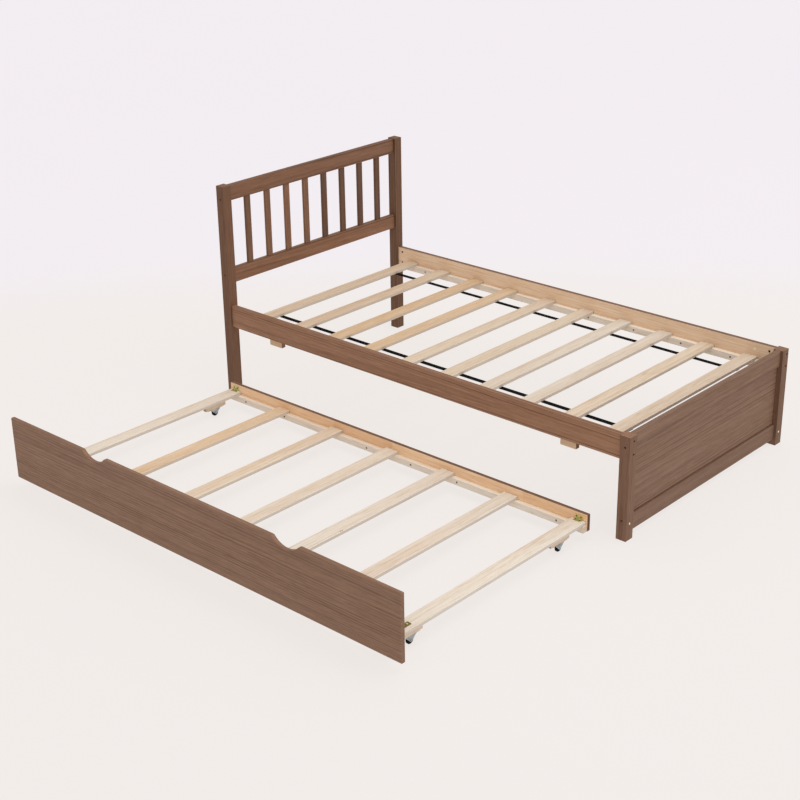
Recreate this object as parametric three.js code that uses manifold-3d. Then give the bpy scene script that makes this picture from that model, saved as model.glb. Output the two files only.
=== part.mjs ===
// Twin trundle bed: a slatted bed frame and a low trundle that rolls out from under its front side rail.
// Millimetres, +Z up, +X from headboard to footboard, +Y towards the back of the bed.
// The origin is on the floor, in the middle of the bed with its trundle rolled out.

import * as THREE from 'three';
import { mergeVertices } from 'three/addons/utils/BufferGeometryUtils.js';
import Module from 'manifold-3d';

const wasm = await Module();
wasm.setup();

// Bed frame, driving dimensions
const BED_LENGTH = 2010;
const BED_DEPTH = 1054;
const POST_SIZE = 41;
const HEADBOARD_HEIGHT = 892.5;
const FOOTBOARD_HEIGHT = 392;
const BOARD_THICKNESS = 20;
const SIDE_RAIL_INSET = 8.5;
const SIDE_RAIL_BOTTOM = 300;
const SIDE_RAIL_TOP = 391;

// Headboard and footboard
const HEAD_TOP_RAIL = { bottom: 827, top: 890.5 };
const HEAD_LOWER_RAIL = { bottom: 482, top: 544 };
const SPINDLE = { count: 8, pitch: 110, width: 27, thickness: 12 };
const FOOT_TOP_RAIL = { bottom: 326, top: FOOTBOARD_HEIGHT };
const FOOT_BOTTOM_RAIL = { bottom: 23.5, top: 86 };
const PANEL_THICKNESS = 8;
const PANEL_SETBACK = 8;

// Bolt and plug holes, drilled from the outside of the posts and legs, and nut holes inside the side rails
const HOLE = { endRadius: 5, sideRadius: 4, depth: 12, sides: 16 };
const HEAD_POST_HOLES = [521, 838];
const FOOT_LEG_HOLES = [74, 350];
const SIDE_RAIL_HOLES = [322.5, 371.5];
const SIDE_RAIL_HOLE_INSET = { front: 24, back: 12 };
const LEG_PLUG_HOLES = { front: 63, back: 52 };
const NUT_HOLE = { radius: 5, depth: 14, offset: 940 };

// Slats, their ledgers and the webbing that keeps them apart.
// The slats are fixed by hand, and shifts gives how far each one lies from even spacing.
const LEDGER_LENGTH = 1798;
const LEDGER_WIDTH = 20;
const SLAT_THICKNESS = 12;
const SLAT_WIDTH = 59;
const BED_LEDGER = { bottom: 301, top: 328 };
const BED_SLAT = { pitch: 193, shifts: [-4, -7, -10, -12, -4, -1, -4, -3, -3, -5], endGap: 1 };
const STRAP = { width: 22, thickness: 1.5, offset: 353 };
const STOP_BLOCK = { width: 68, bottom: 266, offset: 731 };

// Trundle
const TRUNDLE_DEPTH = 1023.5;
const FRONT_BOARD = { headEnd: -953, footEnd: 958, thickness: 16, bottom: 30, top: 270 };
const BACK_BOARD = { headEnd: -895, footEnd: 901, thickness: 17, bottom: 37, top: 100.5 };
const SCOOP = { offset: 475, radius: 78, depth: 28, shoulder: 12, steps: 16, shoulderSteps: 4 };
const TRUNDLE_LEDGER = { bottom: 37, top: 62 };
const TRUNDLE_SLAT = { pitch: 289.5, shifts: [6, 0, 4, 4, -8, -7, -2], endGap: 0.5 };

// Casters
const CASTER_OFFSET = { x: 867, y: 377 };
const CASTER_BLOCK = { width: 18, length: 104, bottom: 33 };
const WHEEL = { radius: 14.5, width: 9, bore: 2.7, edge: 1.2, hubRadius: 5.5, hubWidth: 11, segments: 32 };
const AXLE = { radius: 2.25, headRadius: 4, headHeight: 1, sides: 20 };
const FORK = { plateWidth: 16.5, plateLength: 80, plateThickness: 2, cheekGap: 12.6, cheekThickness: 1.6 };
const CHEEK = { topHalfWidth: 25, bottomRadius: 5.5 };

// Long corner brackets behind the trundle's front board
const BRACKET = { offset: 869, width: 17.5, foot: 117, height: 118, thickness: 2.5, holeRadius: 2.5 };
const BRACKET_HOLES = [30, 68, 106];

// Derived places
const TOTAL_DEPTH = BED_DEPTH + 1089;
const BED_CENTRE_Y = (TOTAL_DEPTH - BED_DEPTH) / 2;
const TRUNDLE_CENTRE_Y = (TRUNDLE_DEPTH - TOTAL_DEPTH) / 2;
const HALF_LENGTH = BED_LENGTH / 2;
const HALF_DEPTH = BED_DEPTH / 2;
const POST_CENTRE_X = HALF_LENGTH - POST_SIZE / 2;
const POST_CENTRE_Y = HALF_DEPTH - POST_SIZE / 2;
const CLEAR_LENGTH = BED_LENGTH - 2 * POST_SIZE;
const CLEAR_DEPTH = BED_DEPTH - 2 * POST_SIZE;
const SIDE_RAIL_INNER_Y = HALF_DEPTH - SIDE_RAIL_INSET - BOARD_THICKNESS;
const FRONT_BOARD_BACK_Y = FRONT_BOARD.thickness - TRUNDLE_DEPTH / 2;
const BACK_BOARD_FRONT_Y = TRUNDLE_DEPTH / 2 - BACK_BOARD.thickness;

const FINISH = {
  stain: { color: 0x836654, roughness: 0.62, metalness: 0 },
  stainedSide: { color: 0xa98a6c, roughness: 0.65, metalness: 0 },
  pine: { color: 0xd8c3a2, roughness: 0.7, metalness: 0 },
  palePine: { color: 0xe0d1bb, roughness: 0.7, metalness: 0 },
  block: { color: 0xcdac90, roughness: 0.7, metalness: 0 },
  webbing: { color: 0x0c0c0c, roughness: 0.85, metalness: 0 },
  zinc: { color: 0x9aa0a0, roughness: 0.35, metalness: 0.9 },
  yellowZinc: { color: 0x8f8034, roughness: 0.4, metalness: 0.8 },
  wheel: { color: 0x121212, roughness: 0.45, metalness: 0 },
};

function part(name, geometry, finish, position = [0, 0, 0]) {
  const mesh = new THREE.Mesh(geometry, new THREE.MeshStandardMaterial(FINISH[finish]));
  mesh.name = name;
  mesh.position.set(...position);
  return mesh;
}

// A board between two heights, centred on x and y.
function board(name, finish, sizeX, sizeY, bottom, top, x, y) {
  const geometry = new THREE.BoxGeometry(sizeX, sizeY, top - bottom);
  return part(name, geometry, finish, [x, y, (bottom + top) / 2]);
}

function toSolid(geometry) {
  const bare = geometry.clone();
  bare.deleteAttribute('normal');
  bare.deleteAttribute('uv');
  const merged = mergeVertices(bare, 1e-4);
  return new wasm.Manifold(new wasm.Mesh({
    numProp: 3,
    vertProperties: new Float32Array(merged.attributes.position.array),
    triVerts: new Uint32Array(merged.index.array),
  }));
}

function toGeometry(solid) {
  const mesh = solid.getMesh();
  const geometry = new THREE.BufferGeometry();
  geometry.setAttribute('position', new THREE.BufferAttribute(new Float32Array(mesh.vertProperties), 3));
  geometry.setIndex(new THREE.BufferAttribute(new Uint32Array(mesh.triVerts), 1));
  geometry.computeVertexNormals();
  return geometry;
}

// A cylinder whose axis runs along x, y or z, centred on the given point.
function rod(axis, radius, length, sides, centre) {
  const geometry = new THREE.CylinderGeometry(radius, radius, length, sides);
  if (axis === 'x') geometry.rotateZ(Math.PI / 2);
  if (axis === 'z') geometry.rotateX(Math.PI / 2);
  return geometry.translate(...centre);
}

// A square post with blind holes; each hole is [axis, side, along, height]:
// the face it opens on, and its place across that face and above the floor.
function drilledPost(height, holes) {
  let solid = toSolid(new THREE.BoxGeometry(POST_SIZE, POST_SIZE, height));
  for (const [axis, side, along, z] of holes) {
    const reach = side * (POST_SIZE / 2);
    const centre = axis === 'x' ? [reach, along, z - height / 2] : [along, reach, z - height / 2];
    const radius = axis === 'x' ? HOLE.endRadius : HOLE.sideRadius;
    solid = solid.subtract(toSolid(rod(axis, radius, 2 * HOLE.depth, HOLE.sides, centre)));
  }
  return toGeometry(solid);
}

// One headboard post or footboard leg. end is -1 at the headboard and 1 at the footboard;
// side is -1 at the front and 1 at the back.
function post(name, height, sideHoles, endHoles, end, side) {
  const inset = side < 0 ? SIDE_RAIL_HOLE_INSET.front : SIDE_RAIL_HOLE_INSET.back;
  const rail = side * (POST_SIZE / 2 - inset);
  const holes = [
    ...sideHoles.map((z) => ['y', side, 0, z]),
    ...endHoles.map((z) => ['x', end, 0, z]),
    ...SIDE_RAIL_HOLES.map((z) => ['x', end, rail, z]),
  ];
  const position = [end * POST_CENTRE_X, side * POST_CENTRE_Y, height / 2];
  return part(name, drilledPost(height, holes), 'stain', position);
}

function makeHeadboard() {
  const spindleSpan = [HEAD_LOWER_RAIL.top, HEAD_TOP_RAIL.bottom];
  const group = new THREE.Group();
  group.add(
    post('headboard_post_front', HEADBOARD_HEIGHT, HEAD_POST_HOLES, [], -1, -1),
    post('headboard_post_back', HEADBOARD_HEIGHT, HEAD_POST_HOLES, [], -1, 1),
    crossRail('headboard_top_rail', HEAD_TOP_RAIL, -1),
    crossRail('headboard_lower_rail', HEAD_LOWER_RAIL, -1),
  );
  for (let i = 0; i < SPINDLE.count; i += 1) {
    const y = (i - (SPINDLE.count - 1) / 2) * SPINDLE.pitch;
    const name = `headboard_spindle_${i + 1}`;
    group.add(board(name, 'stain', SPINDLE.thickness, SPINDLE.width, ...spindleSpan, -POST_CENTRE_X, y));
  }
  return group;
}

// A rail between the two posts at one end of the bed.
function crossRail(name, span, end) {
  return board(name, 'stain', BOARD_THICKNESS, CLEAR_DEPTH, span.bottom, span.top, end * POST_CENTRE_X, 0);
}

function makeFootboard() {
  const railInner = POST_CENTRE_X - BOARD_THICKNESS / 2;
  const panelX = railInner + BOARD_THICKNESS - PANEL_SETBACK - PANEL_THICKNESS / 2;
  const group = new THREE.Group();
  group.add(
    post('footboard_leg_front', FOOTBOARD_HEIGHT, FOOT_LEG_HOLES, [LEG_PLUG_HOLES.front], 1, -1),
    post('footboard_leg_back', FOOTBOARD_HEIGHT, FOOT_LEG_HOLES, [LEG_PLUG_HOLES.back], 1, 1),
    crossRail('footboard_top_rail', FOOT_TOP_RAIL, 1),
    crossRail('footboard_bottom_rail', FOOT_BOTTOM_RAIL, 1),
    board('footboard_panel', 'stain', PANEL_THICKNESS, CLEAR_DEPTH,
      FOOT_BOTTOM_RAIL.top, FOOT_TOP_RAIL.bottom, panelX, 0),
  );
  return group;
}

// A side rail, with holes for two barrel nuts near each end of its inner face.
function sideRailGeometry(side) {
  const height = SIDE_RAIL_TOP - SIDE_RAIL_BOTTOM;
  const middle = (SIDE_RAIL_TOP + SIDE_RAIL_BOTTOM) / 2;
  let solid = toSolid(new THREE.BoxGeometry(CLEAR_LENGTH, BOARD_THICKNESS, height));
  for (const end of [-1, 1]) {
    for (const z of SIDE_RAIL_HOLES) {
      const centre = [end * NUT_HOLE.offset, -side * (BOARD_THICKNESS / 2), z - middle];
      solid = solid.subtract(toSolid(rod('y', NUT_HOLE.radius, 2 * NUT_HOLE.depth, HOLE.sides, centre)));
    }
  }
  return toGeometry(solid);
}

// A side rail with the ledger that carries the slat ends on its inner face.
function makeSide(word, side) {
  const railY = side * (SIDE_RAIL_INNER_Y + BOARD_THICKNESS / 2);
  const ledgerY = side * (SIDE_RAIL_INNER_Y - LEDGER_WIDTH / 2);
  const railZ = (SIDE_RAIL_TOP + SIDE_RAIL_BOTTOM) / 2;
  const group = new THREE.Group();
  group.add(
    part(`side_rail_${word}`, sideRailGeometry(side), 'stainedSide', [0, railY, railZ]),
    board(`bed_ledger_${word}`, 'pine', LEDGER_LENGTH, LEDGER_WIDTH,
      BED_LEDGER.bottom, BED_LEDGER.top, 0, ledgerY),
  );
  return group;
}

// Where each slat of a row is centred along x.
function slatCentres(slat) {
  return slat.shifts.map((shift, i) => (i - (slat.shifts.length - 1) / 2) * slat.pitch + shift);
}

// Equal slats side by side along x.
function slatRow(prefix, finish, slat, length, bottom, y) {
  const group = new THREE.Group();
  const top = bottom + SLAT_THICKNESS;
  slatCentres(slat).forEach((x, i) => {
    group.add(board(`${prefix}_${i + 1}`, finish, SLAT_WIDTH, length, bottom, top, x, y));
  });
  return group;
}

// Webbing stapled to the undersides of the slats, from the first to the last.
function makeStrap(word, side) {
  const first = slatCentres(BED_SLAT).at(0) - SLAT_WIDTH / 2;
  const last = slatCentres(BED_SLAT).at(-1) + SLAT_WIDTH / 2;
  return board(`slat_strap_${word}`, 'webbing', last - first, STRAP.width,
    BED_LEDGER.top - STRAP.thickness, BED_LEDGER.top, (first + last) / 2, side * STRAP.offset);
}

// Blocks under the front ledger that the trundle's front board closes against.
function makeStopBlock(word, end) {
  const y = BOARD_THICKNESS / 2 - SIDE_RAIL_INNER_Y;
  return board(`stop_block_${word}`, 'pine', STOP_BLOCK.width, BOARD_THICKNESS,
    STOP_BLOCK.bottom, BED_LEDGER.bottom, end * STOP_BLOCK.offset, y);
}

function makeBed() {
  const group = new THREE.Group();
  group.position.y = BED_CENTRE_Y;
  group.add(
    makeHeadboard(),
    makeFootboard(),
    makeSide('front', -1),
    makeSide('back', 1),
    slatRow('bed_slat', 'pine', BED_SLAT, 2 * (SIDE_RAIL_INNER_Y - BED_SLAT.endGap), BED_LEDGER.top, 0),
    makeStrap('front', -1),
    makeStrap('back', 1),
    makeStopBlock('head', -1),
    makeStopBlock('foot', 1),
  );
  return group;
}

function arcPoints(x, y, radius, from, to, steps) {
  const points = [];
  for (let i = 0; i <= steps; i += 1) {
    const angle = from + ((to - from) * i) / steps;
    points.push(new THREE.Vector2(x + radius * Math.cos(angle), y + radius * Math.sin(angle)));
  }
  return points;
}

// One hand scoop in the front board's top edge, from -x to +x: a round bowl between two rounded shoulders.
function scoopPoints(centreX, top) {
  const rise = SCOOP.radius - SCOOP.depth;
  const reach = Math.sqrt((SCOOP.radius + SCOOP.shoulder) ** 2 - (rise + SCOOP.shoulder) ** 2);
  const lean = Math.atan2(rise + SCOOP.shoulder, reach);
  const shoulderY = top - SCOOP.shoulder;
  const leftShoulder = [centreX - reach, shoulderY, SCOOP.shoulder, Math.PI / 2, lean];
  const bowl = [centreX, top + rise, SCOOP.radius, Math.PI + lean, 2 * Math.PI - lean];
  const rightShoulder = [centreX + reach, shoulderY, SCOOP.shoulder, Math.PI - lean, Math.PI / 2];
  return [
    ...arcPoints(...leftShoulder, SCOOP.shoulderSteps),
    ...arcPoints(...bowl, SCOOP.steps).slice(1),
    ...arcPoints(...rightShoulder, SCOOP.shoulderSteps).slice(1),
  ];
}

function makeFrontBoard() {
  const { headEnd, footEnd, bottom, top } = FRONT_BOARD;
  const outline = new THREE.Shape([
    new THREE.Vector2(footEnd, bottom),
    new THREE.Vector2(headEnd, bottom),
    new THREE.Vector2(headEnd, top),
    ...scoopPoints(-SCOOP.offset, top),
    ...scoopPoints(SCOOP.offset, top),
    new THREE.Vector2(footEnd, top),
  ]);
  const settings = { depth: FRONT_BOARD.thickness, bevelEnabled: false };
  const geometry = new THREE.ExtrudeGeometry(outline, settings);
  geometry.rotateX(Math.PI / 2);
  return part('trundle_front_board', geometry, 'stain', [0, FRONT_BOARD_BACK_Y, 0]);
}

function makeBackBoard() {
  const { headEnd, footEnd, thickness, bottom, top } = BACK_BOARD;
  return board('trundle_back_board', 'stainedSide', footEnd - headEnd, thickness, bottom, top,
    (headEnd + footEnd) / 2, BACK_BOARD_FRONT_Y + thickness / 2);
}

function makeTrundleLedger(word, y) {
  return board(`trundle_ledger_${word}`, 'pine', LEDGER_LENGTH, LEDGER_WIDTH,
    TRUNDLE_LEDGER.bottom, TRUNDLE_LEDGER.top, 0, y);
}

// An L of flat strip: its foot lies on an end slat and its leg stands behind the front board.
function makeBracket(word, end) {
  const profile = new THREE.Shape();
  profile.moveTo(0, 0);
  profile.lineTo(BRACKET.foot, 0);
  profile.lineTo(BRACKET.foot, BRACKET.thickness);
  profile.lineTo(BRACKET.thickness, BRACKET.thickness);
  profile.lineTo(BRACKET.thickness, BRACKET.height);
  profile.lineTo(0, BRACKET.height);
  const strip = new THREE.ExtrudeGeometry(profile, { depth: BRACKET.width, bevelEnabled: false });
  strip.rotateX(Math.PI / 2);
  strip.rotateZ(Math.PI / 2);
  strip.translate(-BRACKET.width / 2, 0, 0);
  let solid = toSolid(strip);
  for (const reach of BRACKET_HOLES) {
    for (const [axis, centre] of [['z', [0, reach, 0]], ['y', [0, 0, reach]]]) {
      const drill = rod(axis, BRACKET.holeRadius, 4 * BRACKET.thickness, HOLE.sides, centre);
      solid = solid.subtract(toSolid(drill));
    }
  }
  const position = [end * BRACKET.offset, FRONT_BOARD_BACK_Y, TRUNDLE_LEDGER.top + SLAT_THICKNESS];
  return part(`corner_bracket_${word}`, toGeometry(solid), 'yellowZinc', position);
}

// One fork cheek: a V whose sides run tangent to the rounded end below the axle.
// Its top reaches up through the mounting plate, which it is welded to.
function cheekShape() {
  const rise = CASTER_BLOCK.bottom - WHEEL.radius;
  const under = rise - FORK.plateThickness;
  const reach = Math.hypot(CHEEK.topHalfWidth, under);
  const tangent = Math.atan2(under, CHEEK.topHalfWidth) - Math.acos(CHEEK.bottomRadius / reach);
  const shape = new THREE.Shape();
  shape.moveTo(-CHEEK.topHalfWidth, rise);
  shape.lineTo(-CHEEK.topHalfWidth, under);
  shape.absarc(0, 0, CHEEK.bottomRadius, Math.PI - tangent, 2 * Math.PI + tangent, false);
  shape.lineTo(CHEEK.topHalfWidth, under);
  shape.lineTo(CHEEK.topHalfWidth, rise);
  return shape;
}

// A rigid caster body: mounting plate, two cheeks and the riveted axle, about the axle's centre.
function casterForkGeometry() {
  const cheekX = FORK.cheekGap / 2 + FORK.cheekThickness / 2;
  const plateZ = CASTER_BLOCK.bottom - FORK.plateThickness / 2 - WHEEL.radius;
  const plate = new THREE.BoxGeometry(FORK.plateWidth, FORK.plateLength, FORK.plateThickness);
  let solid = toSolid(plate.translate(0, 0, plateZ));
  for (const end of [-1, 1]) {
    const cheek = new THREE.ExtrudeGeometry(cheekShape(), {
      depth: FORK.cheekThickness,
      bevelEnabled: false,
      curveSegments: 16,
    });
    cheek.rotateX(Math.PI / 2);
    cheek.rotateZ(Math.PI / 2);
    cheek.translate(end * cheekX - FORK.cheekThickness / 2, 0, 0);
    const headLength = FORK.cheekThickness + AXLE.headHeight;
    const headX = FORK.cheekGap / 2 + headLength / 2;
    const head = rod('x', AXLE.headRadius, headLength, AXLE.sides, [end * headX, 0, 0]);
    solid = solid.add(toSolid(cheek)).add(toSolid(head));
  }
  const axleLength = 2 * (cheekX + FORK.cheekThickness / 2);
  return toGeometry(solid.add(toSolid(rod('x', AXLE.radius, axleLength, AXLE.sides, [0, 0, 0]))));
}

// A plain bored wheel with a small hub, turned about x.
function wheelGeometry() {
  const half = WHEEL.width / 2;
  const hubHalf = WHEEL.hubWidth / 2;
  const profile = [
    [WHEEL.bore, -hubHalf],
    [WHEEL.hubRadius, -hubHalf],
    [WHEEL.hubRadius, -half],
    [WHEEL.radius - WHEEL.edge, -half],
    [WHEEL.radius, WHEEL.edge - half],
    [WHEEL.radius, half - WHEEL.edge],
    [WHEEL.radius - WHEEL.edge, half],
    [WHEEL.hubRadius, half],
    [WHEEL.hubRadius, hubHalf],
    [WHEEL.bore, hubHalf],
    [WHEEL.bore, -hubHalf],
  ];
  const points = profile.map(([radius, along]) => new THREE.Vector2(radius, along));
  const turned = new THREE.LatheGeometry(points, WHEEL.segments);
  turned.rotateZ(-Math.PI / 2);
  return toGeometry(toSolid(turned));
}

// A caster with its wood block under an end slat.
function makeCaster(word, end, side) {
  const x = end * CASTER_OFFSET.x;
  const y = side * CASTER_OFFSET.y;
  const group = new THREE.Group();
  group.add(
    board(`caster_block_${word}`, 'block', CASTER_BLOCK.width, CASTER_BLOCK.length,
      CASTER_BLOCK.bottom, TRUNDLE_LEDGER.top, x, y),
    part(`caster_fork_${word}`, casterForkGeometry(), 'zinc', [x, y, WHEEL.radius]),
    part(`caster_wheel_${word}`, wheelGeometry(), 'wheel', [x, y, WHEEL.radius]),
  );
  return group;
}

function makeTrundle() {
  const slatLength = BACK_BOARD_FRONT_Y - FRONT_BOARD_BACK_Y;
  const slatY = (BACK_BOARD_FRONT_Y + FRONT_BOARD_BACK_Y) / 2;
  const group = new THREE.Group();
  group.position.y = TRUNDLE_CENTRE_Y;
  group.add(
    makeFrontBoard(),
    makeBackBoard(),
    makeTrundleLedger('front', FRONT_BOARD_BACK_Y + LEDGER_WIDTH / 2),
    makeTrundleLedger('back', BACK_BOARD_FRONT_Y - LEDGER_WIDTH / 2),
    slatRow('trundle_slat', 'palePine', TRUNDLE_SLAT, slatLength - 2 * TRUNDLE_SLAT.endGap,
      TRUNDLE_LEDGER.top, slatY),
    makeBracket('head', -1),
    makeBracket('foot', 1),
    makeCaster('head_front', -1, -1),
    makeCaster('head_back', -1, 1),
    makeCaster('foot_front', 1, -1),
    makeCaster('foot_back', 1, 1),
  );
  return group;
}

const trundleBed = new THREE.Group();
trundleBed.add(makeBed(), makeTrundle());

export default trundleBed;
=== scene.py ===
import math
import random

import bmesh
import bpy
from mathutils import Matrix, Vector
from mathutils.geometry import tessellate_polygon


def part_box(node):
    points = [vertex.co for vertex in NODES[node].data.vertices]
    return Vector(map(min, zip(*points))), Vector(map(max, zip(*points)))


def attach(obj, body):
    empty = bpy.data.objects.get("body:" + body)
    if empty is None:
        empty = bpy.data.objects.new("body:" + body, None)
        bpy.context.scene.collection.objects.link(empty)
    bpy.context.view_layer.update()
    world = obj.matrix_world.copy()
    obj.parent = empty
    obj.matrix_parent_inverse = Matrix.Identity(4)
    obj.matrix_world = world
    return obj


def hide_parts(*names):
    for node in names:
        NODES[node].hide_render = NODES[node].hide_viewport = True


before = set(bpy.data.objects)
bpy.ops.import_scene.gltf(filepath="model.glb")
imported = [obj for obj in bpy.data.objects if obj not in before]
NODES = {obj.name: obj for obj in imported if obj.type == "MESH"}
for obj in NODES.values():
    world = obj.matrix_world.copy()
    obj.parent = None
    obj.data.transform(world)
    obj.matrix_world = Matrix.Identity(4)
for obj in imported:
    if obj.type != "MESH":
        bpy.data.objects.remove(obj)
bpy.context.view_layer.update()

# Camera: a long lens from the footboard's front corner, a little above the headboard
CAMERA_PLACE = Vector((3.5722, -3.9188, 2.5736))
CAMERA_YAW = math.radians(41.54)
CAMERA_PITCH = math.radians(-23.68)
CAMERA_ROLL = math.radians(-0.51)
CAMERA_LENS_MM = 69.6
CAMERA_SHIFT = (-0.0285, 0.00094)

# The studio: one pale colour near the camera and a cooler one far off, and how much of it the
# floor gives off by itself
STUDIO_COLOUR = "#f1ece9"
FAR_COLOUR = "#f2edf3"
FAR_FLOOR = (6.9, 8.1)
FLOOR_GLOW = 0.86
FLOOR_SIZE = 80.0
KEY_LIGHT = {"place": (2.0, 0.5, 6.0), "target": (0.0, 0.0, 0.3), "size": 4.0, "power": 110.0}
# The sky is brighter towards this direction, and darker away from it
SKY_LEAN = (0.3, 0.12, 0.0)

# Edge rounding
BOARD_ROUNDING = 0.0016
FRONT_BOARD_ROUNDING = 0.0028
SLAT_ROUNDING = 0.0010
METAL_ROUNDING = 0.0004
WHEEL_ROUNDING = 0.0008

AXES = {"x": 0, "y": 1, "z": 2}
WOOD_GLOSS = 0.2
# Each wood's growth rings: how far apart they are, how far they lean along the board, and how far
# they wander
STAIN_RINGS = (0.0085, 0.004, 0.016)
PINE_RINGS = (0.0062, 0.008, 0.012)
RAIL_RINGS = (0.0074, 0.004, 0.014)


def rgb(text):
    """A hex sRGB colour as linear RGBA."""
    values = [int(text[i:i + 2], 16) / 255 for i in (1, 3, 5)]
    linear = [v / 12.92 if v <= 0.04045 else ((v + 0.055) / 1.055) ** 2.4 for v in values]
    return (*linear, 1.0)


# ---------------------------------------------------------------------------------------------
# Shader graphs
# ---------------------------------------------------------------------------------------------

class Graph:
    """A new material's node tree, with short calls that add nodes to it."""

    def __init__(self, name, **shader_values):
        self.material = bpy.data.materials.new(name)
        self.material.use_nodes = True
        self.tree = self.material.node_tree
        self.shader = self.tree.nodes["Principled BSDF"]
        for socket, value in shader_values.items():
            self.shader.inputs[socket.replace("_", " ")].default_value = value

    def feed(self, socket, value):
        if isinstance(value, bpy.types.NodeSocket):
            self.tree.links.new(value, socket)
        else:
            socket.default_value = value

    def add(self, kind, values, output=0, **settings):
        made = self.tree.nodes.new(kind)
        for name, value in settings.items():
            setattr(made, name, value)
        for key, value in values.items():
            self.feed(made.inputs[key], value)
        return made.outputs[output]

    def math(self, operation, a, b=0.0, clamp=False):
        return self.add("ShaderNodeMath", {0: a, 1: b}, operation=operation, use_clamp=clamp)

    def vector(self, operation, a, b):
        output = "Value" if operation == "DISTANCE" else "Vector"
        return self.add("ShaderNodeVectorMath", {0: a, 1: b}, output=output, operation=operation)

    def split(self, vector):
        made = self.tree.nodes.new("ShaderNodeSeparateXYZ")
        self.tree.links.new(vector, made.inputs[0])
        return made.outputs

    def place(self):
        return self.add("ShaderNodeTexCoord", {}, output="Object")

    def normal(self):
        return self.add("ShaderNodeTexCoord", {}, output="Normal")

    def own(self, name, output="Fac"):
        """A value that each object carries as a custom property."""
        return self.add("ShaderNodeAttribute", {}, output=output,
                        attribute_type="OBJECT", attribute_name=name)

    def noise(self, vector, scale, detail=2.0, roughness=0.5, seed=0.0, distortion=0.0):
        values = {"Vector": vector, "Scale": scale, "Detail": detail, "Roughness": roughness,
                  "W": seed, "Distortion": distortion}
        return self.add("ShaderNodeTexNoise", values, noise_dimensions="4D")

    def remap(self, value, low, high, new_low=0.0, new_high=1.0, smooth=True):
        kind = "SMOOTHSTEP" if smooth else "LINEAR"
        values = {"Value": value, "From Min": low, "From Max": high,
                  "To Min": new_low, "To Max": new_high}
        return self.add("ShaderNodeMapRange", values, interpolation_type=kind)

    def mix(self, amount, a, b, blend="MIX"):
        made = self.tree.nodes.new("ShaderNodeMix")
        made.data_type = "RGBA"
        made.blend_type = blend
        for name, value in (("Factor_Float", amount), ("A_Color", a), ("B_Color", b)):
            self.feed(next(s for s in made.inputs if s.identifier == name), value)
        return next(s for s in made.outputs if s.identifier == "Result_Color")

    def bump(self, height, strength, distance):
        values = {"Strength": strength, "Distance": distance, "Height": height}
        return self.add("ShaderNodeBump", values, output="Normal")

    def finish(self, colour, roughness, normal):
        self.feed(self.shader.inputs["Base Color"], colour)
        self.feed(self.shader.inputs["Roughness"], roughness)
        self.feed(self.shader.inputs["Normal"], normal)
        return self.material


def edge_wear_and_highlight(g, seed):
    """1 on rounded edges, broken up by noise: a box's flat faces have one normal component near 1."""
    parts = [g.math("ABSOLUTE", part) for part in g.split(g.normal())]
    largest = g.math("MAXIMUM", g.math("MAXIMUM", parts[0], parts[1]), parts[2])
    rounded = g.remap(largest, 0.99, 0.8)
    patches = g.remap(g.noise(g.place(), 22.0, 3.0, 0.6, seed), 0.3, 0.6, 0.45, 1.0)
    return g.math("MULTIPLY", rounded, patches)


def stretched(g, vector, axis, along, across):
    """The vector with its grain axis scaled by along and the two others by across."""
    scale = [across] * 3
    scale[AXES[axis]] = along
    return g.vector("MULTIPLY", vector, tuple(scale))


def ring_field(g, local, axis, seed, spacing, slope, wander):
    """Growth rings about a pith line that runs nearly along the grain: the place in the ring, the
    ring's index, and how steeply the rings meet the surface, from 0 where it lies flat on them."""
    parts = g.split(local)
    along = parts[AXES[axis]]
    rest = [i for i in range(3) if i != AXES[axis]]
    squares = [g.math("MULTIPLY", parts[i], parts[i]) for i in rest]
    radius = g.math("SQRT", g.math("ADD", squares[0], squares[1]))
    normal = g.split(g.normal())
    facing = [g.math("MULTIPLY", parts[i], normal[i]) for i in rest]
    flatness = g.math("DIVIDE", g.math("ADD", facing[0], facing[1]), radius)
    steep = g.math("SQRT", g.math("SUBTRACT", 1.0, g.math("MULTIPLY", flatness, flatness), clamp=True))
    drift = g.noise(stretched(g, local, axis, 1.0, 9.0), 1.0, 2.0, 0.5, seed)
    bend = g.math("MULTIPLY", g.math("SUBTRACT", drift, 0.5), wander)
    lean = g.math("MULTIPLY", along, slope)
    total = g.math("DIVIDE", g.math("ADD", g.math("ADD", radius, bend), lean), spacing)
    return g.math("FRACT", total), g.math("FLOOR", total), steep


def wood_layers(g, axis, spacing, slope, wander):
    """The masks that every wood here is painted with, each from 0 to 1."""
    seed = g.own("seed")
    local = g.vector("SUBTRACT", g.place(), g.own("pith", "Vector"))
    ring, index, steep = ring_field(g, local, axis, seed, spacing, slope, wander)
    late = g.math("MULTIPLY", g.remap(ring, 0.55, 0.86), g.remap(ring, 1.0, 0.9))
    late = g.math("MULTIPLY", late, g.remap(steep, 0.05, 0.55, 0.2, 1.0))
    uneven = g.add("ShaderNodeTexWhiteNoise", {"W": g.math("ADD", index, seed)},
                   output="Value", noise_dimensions="1D")
    return {
        "seed": seed,
        "local": local,
        "rings": g.math("MULTIPLY", late, g.remap(uneven, 0.45, 1.0, 0.12, 1.0, smooth=False)),
        "early": g.math("MULTIPLY", g.remap(ring, 0.0, 0.1), g.remap(ring, 0.42, 0.18)),
        "streaks": g.noise(stretched(g, local, axis, 0.9, 75.0), 1.0, 3.0, 0.6, seed),
        "broad": g.noise(stretched(g, local, axis, 0.9, 7.0), 1.0, 2.0, 0.5, seed),
        "dashes": g.noise(stretched(g, local, axis, 13.0, 190.0), 1.0, 2.0, 0.6, seed),
        "fibres": g.noise(stretched(g, local, axis, 9.0, 420.0), 1.0, 3.0, 0.6, seed),
        "pores": g.noise(stretched(g, local, axis, 26.0, 1300.0), 1.0, 1.0, 0.5, seed),
    }


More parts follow.
